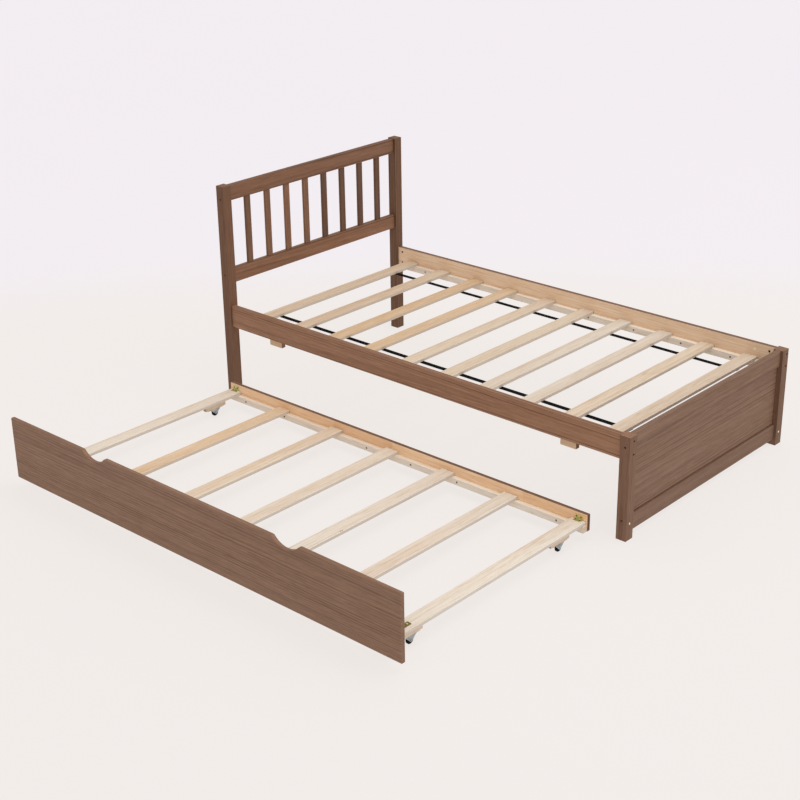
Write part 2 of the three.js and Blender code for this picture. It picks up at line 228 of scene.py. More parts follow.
def end_grain(g, axis):
    return g.remap(g.math("ABSOLUTE", g.split(g.normal())[AXES[axis]]), 0.75, 0.95)


def sideways(g):
    return g.remap(g.math("ABSOLUTE", g.split(g.normal())[2]), 0.7, 0.4)


def tone_and_painted_light_by_face(g, colour):
    """Scales a colour by the object's own value, and paints light and shade on upward and sideways faces by
    its top and side.
    """
    top = g.remap(g.split(g.normal())[2], 0.4, 0.8)
    side = sideways(g)
    scale = g.math("ADD", 1.0, g.math("MULTIPLY", top, g.math("SUBTRACT", g.own("top"), 1.0)))
    scale = g.math("ADD", scale, g.math("MULTIPLY", side, g.math("SUBTRACT", g.own("side"), 1.0)))
    warm = g.mix(g.own("warmth"), colour, g.mix(1.0, colour, (1.03, 0.9, 0.79, 1.0), "MULTIPLY"))
    return g.vector("MULTIPLY", g.vector("MULTIPLY", warm, g.own("value")), scale)


def paint_stain(g, layers, axis):
    """Brown stain over open grain: soft streaks, dark late wood, short dark pores and lighter edges."""
    colour = g.mix(g.remap(layers["streaks"], 0.3, 0.7), rgb("#7f614f"), rgb("#8c6d59"))
    colour = g.mix(g.remap(layers["broad"], 0.3, 0.75, 0.0, 0.25), colour, rgb("#876749"))
    colour = g.mix(g.math("MULTIPLY", layers["early"], 0.25), colour, rgb("#9a7b69"))
    colour = g.mix(g.math("MULTIPLY", layers["rings"], 0.85), colour, rgb("#4e3527"))
    colour = g.mix(g.remap(layers["dashes"], 0.52, 0.72, 0.0, 0.32), colour, rgb("#5d4231"))
    colour = g.mix(g.remap(layers["dashes"], 0.48, 0.3, 0.0, 0.25), colour, rgb("#a88770"))
    colour = g.mix(g.remap(layers["fibres"], 0.52, 0.74, 0.0, 0.25), colour, rgb("#5d4231"))
    colour = g.mix(g.remap(layers["pores"], 0.6, 0.7, 0.0, 0.4), colour, rgb("#49342a"))
    colour = g.mix(g.math("MULTIPLY", end_grain(g, axis), g.own("ends")), colour, rgb("#5a4230"))
    # Lighter rounded edges: part wear, part painted highlight.
    colour = g.mix(g.math("MULTIPLY", edge_wear_and_highlight(g, layers["seed"]), 0.3), colour, rgb("#a0795f"))
    return tone_and_painted_light_by_face(g, colour)


def paint_pine(g, layers, axis):
    """Bare planed pine: pale early wood, faint honey late wood, tone by piece, and a rare small knot."""
    tone = g.own("tone")
    pale = g.mix(tone, rgb("#e7e2d7"), rgb("#e1c59f"))
    warm = g.mix(tone, rgb("#dbcfbf"), rgb("#d3b189"))
    colour = g.mix(g.remap(layers["streaks"], 0.25, 0.75), pale, warm)
    colour = g.mix(g.remap(layers["broad"], 0.35, 0.7, 0.0, 0.35), colour, rgb("#cfb195"))
    colour = g.mix(g.math("MULTIPLY", layers["rings"], 0.35), colour, rgb("#b6946d"))
    colour = g.mix(g.remap(layers["dashes"], 0.5, 0.75, 0.0, 0.35), colour, rgb("#b3926c"))
    colour = g.mix(g.remap(layers["dashes"], 0.5, 0.3, 0.0, 0.3), colour, rgb("#e9dfd0"))
    colour = g.mix(g.remap(layers["fibres"], 0.5, 0.75, 0.0, 0.4), colour, rgb("#ac8c68"))
    knots = g.add("ShaderNodeTexVoronoi",
                  {"Vector": stretched(g, layers["local"], axis, 2.1, 9.0), "Scale": 1.0,
                   "W": layers["seed"]}, output="Distance", voronoi_dimensions="4D")
    colour = g.mix(g.remap(knots, 0.085, 0.02, 0.0, 0.7), colour, rgb("#8a5c34"))
    # A grey cast on sideways faces: painted shade.
    colour = g.mix(g.math("MULTIPLY", sideways(g), g.own("grey_side_shade")), colour, rgb("#cbc6c0"))
    # Darker end faces: end grain, with painted shade on the stop and caster blocks' ends.
    colour = g.mix(g.math("MULTIPLY", end_grain(g, axis), g.own("ends")), colour, rgb("#6b4a30"))
    # Lighter rounded edges: part wear, part painted highlight.
    colour = g.mix(g.math("MULTIPLY", edge_wear_and_highlight(g, layers["seed"]), 0.25), colour, rgb("#e6dccb"))
    return tone_and_painted_light_by_face(g, colour)


def grain_bump(g, layers, strength):
    height = g.math("ADD", g.math("MULTIPLY", layers["rings"], -0.5),
                    g.math("MULTIPLY", layers["fibres"], 0.8))
    height = g.math("SUBTRACT", height, g.remap(layers["pores"], 0.6, 0.72, 0.0, 0.6))
    return g.bump(height, strength, 0.0004)


def stained_wood(axis):
    g = Graph("stained_pine_" + axis, Specular_IOR_Level=WOOD_GLOSS)
    layers = wood_layers(g, axis, *STAIN_RINGS)
    roughness = g.remap(layers["fibres"], 0.3, 0.7, 0.5, 0.66)
    return g.finish(paint_stain(g, layers, axis), roughness, grain_bump(g, layers, 0.45))


def stained_panel_gap_shade():
    """The stained wood along y, with a dark line of painted shade where the panel meets its frame."""
    g = Graph("stained_pine_panel_gap_shade", Specular_IOR_Level=WOOD_GLOSS)
    layers = wood_layers(g, "y", *STAIN_RINGS)
    _, below_y, below_z = g.split(g.vector("SUBTRACT", g.place(), g.own("low", "Vector")))
    _, above_y, above_z = g.split(g.vector("SUBTRACT", g.own("high", "Vector"), g.place()))
    nearest = g.math("MINIMUM", g.math("MINIMUM", below_y, above_y), g.math("MINIMUM", below_z, above_z))
    ragged = g.math("MULTIPLY", g.noise(g.place(), 80.0, 2.0, 0.5, layers["seed"]), 0.002)
    # Painted shade: darker within a few millimetres of the panel's edges.
    line = g.remap(g.math("SUBTRACT", nearest, ragged), 0.004, 0.001, 0.0, 0.75)
    colour = g.mix(line, paint_stain(g, layers, "y"), rgb("#452a1b"))
    roughness = g.remap(layers["fibres"], 0.3, 0.7, 0.5, 0.66)
    return g.finish(colour, roughness, grain_bump(g, layers, 0.45))


def bare_wood(axis):
    g = Graph("bare_pine_" + axis, Specular_IOR_Level=WOOD_GLOSS)
    layers = wood_layers(g, axis, *PINE_RINGS)
    roughness = g.remap(layers["fibres"], 0.3, 0.7, 0.58, 0.76)
    return g.finish(paint_pine(g, layers, axis), roughness, grain_bump(g, layers, 0.3))


def part_stained_wood():
    """Stain on the outside, the ends and the top, wrapping just over the edge of the bare inner face."""
    g = Graph("part_stained_pine_x", Specular_IOR_Level=WOOD_GLOSS)
    layers = wood_layers(g, "x", *RAIL_RINGS)
    depth = g.math("MULTIPLY", g.math("SUBTRACT", g.split(g.place())[1], g.own("bare_y")),
                   g.own("bare_side"))
    ragged = g.math("MULTIPLY", g.noise(g.place(), 60.0, 3.0, 0.6, layers["seed"]), 0.0012)
    stain = g.remap(g.math("SUBTRACT", depth, ragged), 0.0001, 0.0006)
    blocks = g.math("FLOOR", g.math("DIVIDE", g.split(layers["local"])[0], 0.31))
    patch = g.add("ShaderNodeTexWhiteNoise", {"W": g.math("ADD", blocks, layers["seed"])},
                  output="Value", noise_dimensions="1D")
    pine = g.vector("MULTIPLY", paint_pine(g, layers, "x"), g.own("bare_value"))
    patched = g.mix(g.math("MULTIPLY", patch, g.own("patching")), pine, rgb("#cf9a66"))
    colour = g.mix(stain, patched, paint_stain(g, layers, "x"))
    roughness = g.remap(layers["fibres"], 0.3, 0.7, 0.52, 0.7)
    return g.finish(colour, roughness, grain_bump(g, layers, 0.35))


def putty():
    """Pale wood filler, smoothed by hand."""
    g = Graph("wood_filler", Specular_IOR_Level=WOOD_GLOSS)
    cloud = g.noise(g.place(), 500.0, 3.0)
    colour = g.mix(g.remap(cloud, 0.3, 0.7), rgb("#f6efe2"), rgb("#e6d8c0"))
    return g.finish(colour, g.remap(cloud, 0.3, 0.7, 0.6, 0.8), g.bump(cloud, 0.2, 0.0002))


def metal(name, base, tint, roughness, tint_scale):
    """Plated steel: slow blotches of a second tint, fine scratches and dulled patches."""
    g = Graph(name, Metallic=1.0)
    blotches = g.noise(g.place(), tint_scale, 3.0, 0.6)
    colour = g.mix(g.remap(blotches, 0.35, 0.65), rgb(base), rgb(tint))
    scratches = g.noise(g.vector("MULTIPLY", g.place(), (400.0, 2400.0, 900.0)), 1.0, 2.0)
    colour = g.mix(g.remap(scratches, 0.6, 0.75, 0.0, 0.25), colour, rgb("#3c3a34"))
    dull = g.remap(g.noise(g.place(), 300.0, 3.0), 0.3, 0.7, roughness, roughness + 0.2)
    return g.finish(colour, dull, g.bump(scratches, 0.25, 0.0001))


def moulded_black():
    g = Graph("black_wheel_plastic", Specular_IOR_Level=0.06)
    grime = g.noise(g.place(), 260.0, 4.0, 0.65)
    colour = g.mix(g.remap(grime, 0.45, 0.75, 0.0, 0.5), rgb("#030303"), rgb("#141210"))
    return g.finish(colour, g.remap(grime, 0.3, 0.7, 0.4, 0.6), g.bump(grime, 0.2, 0.0002))


def woven_black():
    """Polypropylene webbing: ribs across the strap, and threads along it."""
    g = Graph("black_webbing", Specular_IOR_Level=0.06)
    x, y, _ = g.split(g.place())
    ribs = g.math("SINE", g.math("MULTIPLY", x, 2 * math.pi / 0.0022))
    threads = g.math("SINE", g.math("MULTIPLY", y, 2 * math.pi / 0.0014))
    weave = g.math("MULTIPLY", g.math("ADD", ribs, threads), 0.5)
    fuzz = g.noise(g.place(), 900.0, 2.0)
    colour = g.mix(g.remap(weave, -0.6, 0.9), rgb("#030303"), rgb("#0f0e0e"))
    colour = g.mix(g.remap(fuzz, 0.6, 0.8, 0.0, 0.4), colour, rgb("#1e1c1b"))
    height = g.math("ADD", weave, g.math("MULTIPLY", fuzz, 0.4))
    return g.finish(colour, g.remap(fuzz, 0.3, 0.7, 0.7, 0.9), g.bump(height, 0.6, 0.0004))


def moulded_white():
    g = Graph("white_plug_plastic")
    cloud = g.noise(g.place(), 400.0, 3.0)
    colour = g.mix(g.remap(cloud, 0.35, 0.7), rgb("#efe2d4"), rgb("#d6c6b4"))
    return g.finish(colour, g.remap(cloud, 0.3, 0.7, 0.35, 0.5), g.bump(cloud, 0.15, 0.0002))


MATERIALS = {
    "stained_x": stained_wood("x"),
    "stained_y": stained_wood("y"),
    "stained_z": stained_wood("z"),
    "stained_panel_gap_shade": stained_panel_gap_shade(),
    "bare_x": bare_wood("x"),
    "bare_y": bare_wood("y"),
    "part_stained": part_stained_wood(),
    "zinc": metal("zinc_plate", "#b4b8b8", "#8d9496", 0.28, 60.0),
    "yellow_zinc": metal("yellow_zinc_plate", "#8a7a40", "#6a6335", 0.3, 90.0),
    "green_zinc": metal("green_zinc_plate", "#e8cd86", "#c3d09a", 0.35, 70.0),
    "dark_steel": metal("dark_steel", "#1d1712", "#120e0b", 0.5, 200.0),
    "brown_steel": metal("brown_steel", "#6b5636", "#4e3f28", 0.5, 200.0),
    "putty": putty(),
    "wheel": moulded_black(),
    "webbing": woven_black(),
    "plug": moulded_white(),
}


# ---------------------------------------------------------------------------------------------
# The CAD nodes: materials, grain seeds and rounded edges
# ---------------------------------------------------------------------------------------------

GRAIN_SEED = 7
CASTER_CORNERS = ("head_front", "head_back", "foot_front", "foot_back")
BED_SLATS = 10


def round_edges(node, width, segments=3):
    """Modifiers that join a faceted node's split faces and round its sharp edges."""
    weld = node.modifiers.new("weld", "WELD")
    weld.merge_threshold = 0.00001
    planar = node.modifiers.new("planar", "DECIMATE")
    planar.decimate_type = "DISSOLVE"
    planar.angle_limit = math.radians(0.5)
    bevel = node.modifiers.new("bevel", "BEVEL")
    bevel.width = width
    bevel.segments = segments
    bevel.limit_method = "ANGLE"
    bevel.angle_limit = math.radians(35)
    bevel.use_clamp_overlap = True
    normals = node.modifiers.new("normals", "WEIGHTED_NORMAL")
    normals.weight = 80
    for polygon in node.data.polygons:
        polygon.use_smooth = True


def dress(name, material, rounding, **own):
    """Gives a CAD node its material, its rounded edges and the values that its material reads."""
    node = NODES[name]
    node.data.materials.clear()
    node.data.materials.append(MATERIALS[material])
    for key, value in own.items():
        node[key] = value
    round_edges(node, rounding)


def board_values(name, rng, tone=0.35, warmth=0.0, value=1.0, pith_depth=0.05,
                 top=1.0, side=1.0, ends=0.2, grey_side_shade=0.0):
    """A board's own grain: where its pith line lies under one face, and its tone, with the strength of the
    painted light and shade on its top and sides.
    """
    low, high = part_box(name)
    middle = (low + high) / 2
    size = high - low
    widest = sorted(range(3), key=lambda i: size[i])
    pith = list(middle)
    pith[widest[0]] -= pith_depth * rng.uniform(0.6, 1.4)
    pith[widest[1]] += size[widest[1]] * rng.uniform(-0.35, 0.35)
    return {
        "pith": [float(v) for v in pith],
        "seed": rng.uniform(0.0, 40.0),
        "tone": tone,
        "warmth": warmth,
        "value": value,
        "top": top,
        "side": side,
        "ends": ends,
        "grey_side_shade": grey_side_shade,
    }


SPINDLE_VALUES = (0.62, 0.75, 0.85, 0.75, 0.5, 0.47, 0.44, 0.52)


def dress_headboard(rng):
    # The top values here paint light and shade on upward faces.
    for word in ("front", "back"):
        name = "headboard_post_" + word
        value = 0.63 if word == "front" else 0.58
        dress(name, "stained_z", BOARD_ROUNDING, **board_values(name, rng, warmth=1.1, value=value, top=1.3))
    for name, value in (("headboard_top_rail", 0.76), ("headboard_lower_rail", 0.86)):
        dress(name, "stained_y", BOARD_ROUNDING, **board_values(name, rng, warmth=1.0, value=value, top=0.82))
    for i, value in enumerate(SPINDLE_VALUES, 1):
        name = f"headboard_spindle_{i}"
        dress(name, "stained_z", SLAT_ROUNDING, **board_values(name, rng, warmth=0.9, value=value))


def dress_footboard(rng):
    # The top value here paints light on the legs' upward faces.
    for word in ("front", "back"):
        name = "footboard_leg_" + word
        value = 0.78 if word == "front" else 0.66
        dress(name, "stained_z", BOARD_ROUNDING, **board_values(name, rng, warmth=0.5, value=value, top=1.6))
    for name, value in (("footboard_top_rail", 0.84), ("footboard_bottom_rail", 0.76)):
        dress(name, "stained_y", BOARD_ROUNDING, **board_values(name, rng, value=value))
    low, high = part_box("footboard_panel")
    dress("footboard_panel", "stained_panel_gap_shade", SLAT_ROUNDING, low=list(low), high=list(high),
          **board_values("footboard_panel", rng, value=0.84))


def dress_side_rails(rng):
    """The side rails and the trundle's back board, each bare on the face towards its mattress."""
    for name, side, tone, patching, value, bare_value in (
        ("side_rail_front", -1, 0.3, 0.1, 1.25, 1.0),
        ("side_rail_back", 1, 0.5, 0.1, 1.0, 1.1),
        ("trundle_back_board", 1, 0.8, 0.5, 1.0, 1.27),
    ):
        low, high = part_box(name)
        bare_y = low.y if side > 0 else high.y
        ends = 0.9 if name == "trundle_back_board" else 0.2
        # The top value here paints shade on upward faces.
        values = board_values(name, rng, tone=tone, warmth=0.6, value=value, top=0.82, ends=ends)
        dress(name, "part_stained", BOARD_ROUNDING, bare_y=bare_y, bare_side=float(side),
              bare_value=bare_value, patching=patching, **values)


BED_SLAT_TONES = (0.6, 0.6, 1.0, 0.9, 0.45, 0.4, 0.15, 0.1, 0.45, 0.3)
TRUNDLE_SLAT_TONES = (0.05, 0.8, 0.45, 0.2, 0.0, 0.05, 0.05)
# Painted shade on the slats' sides: how light they are, and how much lighter each one is than the last
# towards the footboard
SLAT_SIDE_SHADE = 0.86
BED_SIDE_SHADE_STEP = 0.022


def dress_slats(rng):
    rows = (
        ("bed_slat", BED_SLAT_TONES, 0.9, BED_SIDE_SHADE_STEP),
        ("trundle_slat", TRUNDLE_SLAT_TONES, 1.03, 0.0),
    )
    for prefix, tones, value, side_shade_step in rows:
        for i, tone in enumerate(tones, 1):
            name = f"{prefix}_{i}"
            side = SLAT_SIDE_SHADE + side_shade_step * (i - 1)
            values = board_values(name, rng, tone=tone, value=value, side=side, grey_side_shade=0.5)
            dress(name, "bare_y", SLAT_ROUNDING, **values)


def dress_small_wood(rng):
    for name in ("bed_ledger_front", "bed_ledger_back", "trundle_ledger_front", "trundle_ledger_back"):
        # Painted shade on the ledgers' sideways faces: darker and greyer.
        values = board_values(name, rng, tone=0.1, value=1.18, pith_depth=0.03, side=0.9, grey_side_shade=0.2)
        dress(name, "bare_x", SLAT_ROUNDING, **values)
    # The stop and caster blocks' strongly darkened ends are end grain and painted shade.
    for name in ("stop_block_head", "stop_block_foot"):
        values = board_values(name, rng, tone=0.7, warmth=0.6, value=0.9, pith_depth=0.02, ends=0.85)
        dress(name, "bare_x", SLAT_ROUNDING, **values)
    for corner in CASTER_CORNERS:
        name = "caster_block_" + corner
        values = board_values(name, rng, tone=0.3, warmth=0.5, value=0.92, pith_depth=0.02, ends=0.5)
        dress(name, "bare_y", SLAT_ROUNDING, **values)


def dress_front_board(rng):
    # The top value here paints shade on the upward face.
    values = board_values("trundle_front_board", rng, value=1.03, pith_depth=0.05, top=0.95)
    dress("trundle_front_board", "stained_x", FRONT_BOARD_ROUNDING, **values)


def dress_metal():
    for corner in CASTER_CORNERS:
        dress("caster_fork_" + corner, "zinc", METAL_ROUNDING)
        dress("caster_wheel_" + corner, "wheel", WHEEL_ROUNDING)
    for word in ("head", "foot"):
        dress("corner_bracket_" + word, "yellow_zinc", METAL_ROUNDING)


# ---------------------------------------------------------------------------------------------
# Hardware and webbing
# ---------------------------------------------------------------------------------------------

def add_piece(name, bm, material, body):
    """Turns a bmesh into a named object that rides on a body."""
    mesh = bpy.data.meshes.new(name)
    bmesh.ops.recalc_face_normals(bm, faces=bm.faces)
    bm.to_mesh(mesh)
    bm.free()
    mesh.materials.append(MATERIALS[material])
    piece = bpy.data.objects.new(name, mesh)
    bpy.context.scene.collection.objects.link(piece)
    mesh.shade_smooth()
    mesh.set_sharp_from_angle(angle=math.radians(32))
    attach(piece, body)
    return piece


def facing(place, normal):
    """The matrix that moves something built on z = 0, facing +Z, to a place and direction."""
    turn = Vector((0, 0, 1)).rotation_difference(Vector(normal)).to_matrix().to_4x4()
    return Matrix.Translation(Vector(place)) @ turn


def circle(radius, sides):
    """The points of a regular polygon about the origin, anticlockwise."""
    angles = [2 * math.pi * i / sides for i in range(sides)]
    return [(radius * math.cos(angle), radius * math.sin(angle)) for angle in angles]


def recess_outline(kind, radius):
    """The outline of a screw's drive recess, anticlockwise."""
    if kind == "hex":
        angles = [math.radians(60 * i) for i in range(6)]
        return [(radius * 0.5 * math.cos(a), radius * 0.5 * math.sin(a)) for a in angles]
    long, short = radius * 0.55, radius * 0.13
    quarter = [(long, -short), (long, short), (short, short)]
    points = []
    for turn in range(4):
        c, s = round(math.cos(turn * math.pi / 2)), round(math.sin(turn * math.pi / 2))
        points += [(x * c - y * s, x * s + y * c) for x, y in quarter]
    return points


def add_head(bm, place, normal, radius, height, recess="cross", depth=0.0012, sides=20):
    """A round screw or bolt head: a low dome with a drive recess, closed below the surface."""
    rings = [
        (radius, -depth),
        (radius, height * 0.35),
        (radius * 0.92, height * 0.8),
        (radius * 0.75, height),
    ]
    matrix = facing(place, normal)
    loops = []
    for ring_radius, z in rings:
        loops.append([bm.verts.new(matrix @ Vector((x, y, z))) for x, y in circle(ring_radius, sides)])
    for lower, upper in zip(loops, loops[1:]):
        for i in range(sides):
            j = (i + 1) % sides
            bm.faces.new((lower[i], lower[j], upper[j], upper[i]))
    bm.faces.new(list(reversed(loops[0])))
    outline = recess_outline(recess, radius * 0.75)
    floor_z = min(height - 0.0006, -0.2 * depth)
    rim = [bm.verts.new(matrix @ Vector((x, y, height))) for x, y in outline]
    floor = [bm.verts.new(matrix @ Vector((x, y, floor_z))) for x, y in outline]
    flat = [
        [Vector((x, y, 0)) for x, y in circle(radius, sides)],
        [Vector((x, y, 0)) for x, y in reversed(outline)],
    ]
    verts = loops[-1] + list(reversed(rim))
    for triangle in tessellate_polygon(flat):
        bm.faces.new([verts[i] for i in triangle])
    for i in range(len(outline)):
        j = (i + 1) % len(outline)
        bm.faces.new((rim[j], rim[i], floor[i], floor[j]))
    bm.faces.new(floor)


def heads_piece(name, spots, normal, radius, height, material, body, recess="cross", depth=0.0012):
    """Identical heads, all facing the same way, as one piece."""
    bm = bmesh.new()
    for spot in spots:
        add_head(bm, spot, normal, radius, height, recess, depth)
    return add_piece(name, bm, material, body)


LEDGER_SCREWS = {"count": 8, "pitch": 0.2243, "radius": 0.0036, "height": 0.0003}


def add_ledger_screws():
    """Countersunk screws that hold each ledger to its board."""
    for name, body, side in (
        ("bed_ledger_front", "bed", 1),
        ("bed_ledger_back", "bed", -1),
        ("trundle_ledger_front", "trundle", 1),
        ("trundle_ledger_back", "trundle", -1),
    ):
        low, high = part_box(name)
        y = high.y if side > 0 else low.y
        z = (low.z + high.z) / 2
        count = LEDGER_SCREWS["count"]
        xs = [(i - (count - 1) / 2) * LEDGER_SCREWS["pitch"] for i in range(count)]
        heads_piece(name + "_screws", [(x, y, z) for x in xs], (0, side, 0), LEDGER_SCREWS["radius"],
                    LEDGER_SCREWS["height"], "dark_steel", body)


BOLT = {"end_radius": 0.0046, "side_radius": 0.0037, "height": 0.0008, "sink": 0.0042, "length": 0.006}
CROSS_RAIL_BOLTS = {"head": (0.521, 0.838), "foot": (0.074, 0.350)}
SIDE_RAIL_BOLTS = (0.3225, 0.3715)
SIDE_BOLT_INSET = {"front": 0.024, "back": 0.012}
LEG_PLUG_HEIGHT = {"front": 0.063, "back": 0.052}
LEG_PLUG_SINK = 0.0012
LEG_PLUG_PROFILE = ((0.0047, -0.006), (0.0047, 0.0004), (0.0041, 0.0009), (0.0024, 0.00115))
NUT = {"radius": 0.0046, "height": 0.0004, "sink": 0.004, "length": 0.009, "offset": 0.940}


def add_bolts():
    """Socket-head bolts at the bottom of the holes in the posts and legs."""
    for end, post in (("head", "headboard_post_"), ("foot", "footboard_leg_")):
        for word, side in (("front", -1), ("back", 1)):
            low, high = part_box(post + word)
            middle = (low + high) / 2
            face_y = high.y if side > 0 else low.y
            face_x = low.x if end == "head" else high.x
            way_x = -1 if end == "head" else 1
            inset = SIDE_BOLT_INSET[word]
            bolt_y = high.y - inset if side > 0 else low.y + inset
            bm = bmesh.new()
            for z in CROSS_RAIL_BOLTS[end]:
                spot = (middle.x, face_y - side * BOLT["sink"], z)
                add_head(bm, spot, (0, side, 0), BOLT["side_radius"], BOLT["height"], "hex", BOLT["length"])
            for z in SIDE_RAIL_BOLTS:
                spot = (face_x - way_x * BOLT["sink"], bolt_y, z)
                add_head(bm, spot, (way_x, 0, 0), BOLT["end_radius"], BOLT["height"], "hex", BOLT["length"])
            add_piece(post + word + "_bolts", bm, "dark_steel", "bed")


def add_barrel_nuts():
    """The slotted ends of the barrel nuts inside the side rails."""
    for word, side in (("front", 1), ("back", -1)):
        low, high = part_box("side_rail_" + word)
        face = high.y if side > 0 else low.y
        spots = [(end * NUT["offset"], face - side * NUT["sink"], z)
                 for end in (-1, 1) for z in SIDE_RAIL_BOLTS]
        heads_piece(f"side_rail_{word}_barrel_nuts", spots, (0, side, 0), NUT["radius"],
                    NUT["height"], "brown_steel", "bed", depth=NUT["length"])


def add_leg_plugs():
    """White push-in plugs low on the footboard legs."""
    for word in ("front", "back"):
        low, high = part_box("footboard_leg_" + word)
        spot = (high.x - LEG_PLUG_SINK, (low.y + high.y) / 2, LEG_PLUG_HEIGHT[word])
        bm = bmesh.new()
        add_dome(bm, spot, (1, 0, 0), LEG_PLUG_PROFILE)
        add_piece(f"footboard_leg_{word}_plug", bm, "plug", "bed")


FILLER = {"x": 0.877, "z": 0.365, "radius": 0.0055}


def add_filler():
    """A hole filled with putty on the back rail's inner face, towards the footboard."""
    low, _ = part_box("side_rail_back")
    radius = FILLER["radius"]
    bm = bmesh.new()
    profile = [(radius, -0.001), (radius, 0.00005), (radius * 0.9, 0.0002), (radius * 0.6, 0.0003)]
    add_dome(bm, (FILLER["x"], low.y, FILLER["z"]), (0, -1, 0), profile)
    add_piece("side_rail_back_filler", bm, "putty", "bed")


def add_dome(bm, place, normal, profile, sides=24):
    """A closed round of the given (radius, height) profile, from its underside to its crown."""
    matrix = facing(place, normal)
    loops = []
    for radius, z in profile:
        loops.append([bm.verts.new(matrix @ Vector((x, y, z))) for x, y in circle(radius, sides)])
    for lower, upper in zip(loops, loops[1:]):
        for i in range(sides):
            j = (i + 1) % sides
            bm.faces.new((lower[i], lower[j], upper[j], upper[i]))
    bm.faces.new(list(reversed(loops[0])))
    bm.faces.new(loops[-1])


# Long corner brackets: the holes along the foot and the leg, the strip's thickness and the screws
BRACKET_HOLES = (0.030, 0.068, 0.106)
BRACKET_THICKNESS = 0.0025
BRACKET_SCREW = {"radius": 0.0042, "height": 0.0016}


def add_bracket_screws():
    for word in ("head", "foot"):
        low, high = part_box("corner_bracket_" + word)
        x = (low.x + high.x) / 2
        sheet = BRACKET_THICKNESS
        bm = bmesh.new()
        for reach in BRACKET_HOLES:
            add_head(bm, (x, low.y + reach, low.z + sheet), (0, 0, 1), **BRACKET_SCREW)
            add_head(bm, (x, low.y + sheet, low.z + reach), (0, 1, 0), **BRACKET_SCREW)
        add_piece(f"corner_bracket_{word}_screws", bm, "green_zinc", "trundle")


def bent_strip(bm, matrix, foot, leg, width, thickness, radius, steps=5):
    """An L of flat strip with a rounded bend: its foot runs along +Y and its leg up +Z."""
    inner = [(foot, thickness)]
    outer = [(foot, 0.0)]
    for i in range(steps + 1):
        angle = -math.pi / 2 - (math.pi / 2) * i / steps
        centre = thickness + radius
        inner.append((centre + radius * math.cos(angle), centre + radius * math.sin(angle)))
        reach = radius + thickness
        outer.append((centre + reach * math.cos(angle), centre + reach * math.sin(angle)))
    inner.append((thickness, leg))
    outer.append((0.0, leg))
    sides = []
    for x in (-width / 2, width / 2):
        sides.append([[bm.verts.new(matrix @ Vector((x, y, z))) for y, z in line]
                      for line in (inner, outer)])
    count = len(inner)
    for i in range(count - 1):
        bm.faces.new((sides[0][0][i], sides[0][0][i + 1], sides[1][0][i + 1], sides[1][0][i]))
        bm.faces.new((sides[0][1][i], sides[0][1][i + 1], sides[1][1][i + 1], sides[1][1][i]))
        for side in sides:
            bm.faces.new((side[0][i], side[0][i + 1], side[1][i + 1], side[1][i]))
    for i in (0, count - 1):
        bm.faces.new((sides[0][0][i], sides[0][1][i], sides[1][1][i], sides[1][0][i]))


REAR_BRACKET = {"width": 0.031, "foot": 0.016, "leg": 0.019, "thickness": 0.0018, "bend": 0.0015}
REAR_SCREW = {"radius": 0.003, "height": 0.0014}
REAR_SCREW_PLACE = {"aside": 0.0095, "out": 0.0095, "up": 0.0115}


def add_rear_brackets():
    """Small angle brackets that tie the end slats to the back board."""
    back_low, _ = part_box("trundle_back_board")
    turned = Matrix.Rotation(math.pi, 4, "Z")
    for word, slat in (("head", "trundle_slat_1"), ("foot", "trundle_slat_7")):
        low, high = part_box(slat)
        x = (low.x + high.x) / 2
        corner = Vector((x, back_low.y, high.z))
        bm = bmesh.new()
        r = REAR_BRACKET
        bent_strip(bm, Matrix.Translation(corner) @ turned, r["foot"], r["leg"], r["width"],
                   r["thickness"], r["bend"])
        plate = add_piece(f"rear_bracket_{word}", bm, "green_zinc", "trundle")
        bevel = plate.modifiers.new("bevel", "BEVEL")
        bevel.width = 0.0005
        bevel.segments = 2
        bevel.limit_method = "ANGLE"
        screws = bmesh.new()
        for side in (-1, 1):
            aside = side * REAR_SCREW_PLACE["aside"]
            on_leg = corner + Vector((aside, -r["thickness"], REAR_SCREW_PLACE["up"]))
            on_foot = corner + Vector((aside, -REAR_SCREW_PLACE["out"], r["thickness"]))
            add_head(screws, on_leg, (0, -1, 0), **REAR_SCREW)
            add_head(screws, on_foot, (0, 0, 1), **REAR_SCREW)
        add_piece(f"rear_bracket_{word}_screws", screws, "yellow_zinc", "trundle")


CASTER_SCREW = {"radius": 0.003, "height": 0.0014, "reach": 0.0335}
CASTER_PLATE_THICKNESS = 0.002


def add_caster_screws():
    """Two pan-head screws under each caster's mounting plate, beyond its cheeks."""
    for corner in CASTER_CORNERS:
        low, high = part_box("caster_fork_" + corner)
        middle = (low + high) / 2
        under = high.z - CASTER_PLATE_THICKNESS
        spots = [(middle.x, middle.y + end * CASTER_SCREW["reach"], under) for end in (-1, 1)]
        heads_piece(f"caster_{corner}_screws", spots, (0, 0, -1), CASTER_SCREW["radius"],
                    CASTER_SCREW["height"], "zinc", "trundle")


NAILS = {"slat": "trundle_slat_5", "y": (-0.6505, -0.6565), "inset": 0.0035, "radius": 0.002,
         "height": 0.0004}


def add_nails():
    """Two small nails near the edge of one trundle slat."""
    low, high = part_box(NAILS["slat"])
    spots = [(high.x - NAILS["inset"] * n, y, high.z) for n, y in enumerate(NAILS["y"], 1)]
    heads_piece("trundle_slat_nails", spots, (0, 0, 1), NAILS["radius"], NAILS["height"],
                "brown_steel", "trundle")


STRAP = {"thickness": 0.0013, "slack": 0.0002, "step": 0.008, "selvedge": 0.00012}


def bed_slat_spans():
    return [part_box(f"bed_slat_{i}") for i in range(1, BED_SLATS + 1)]


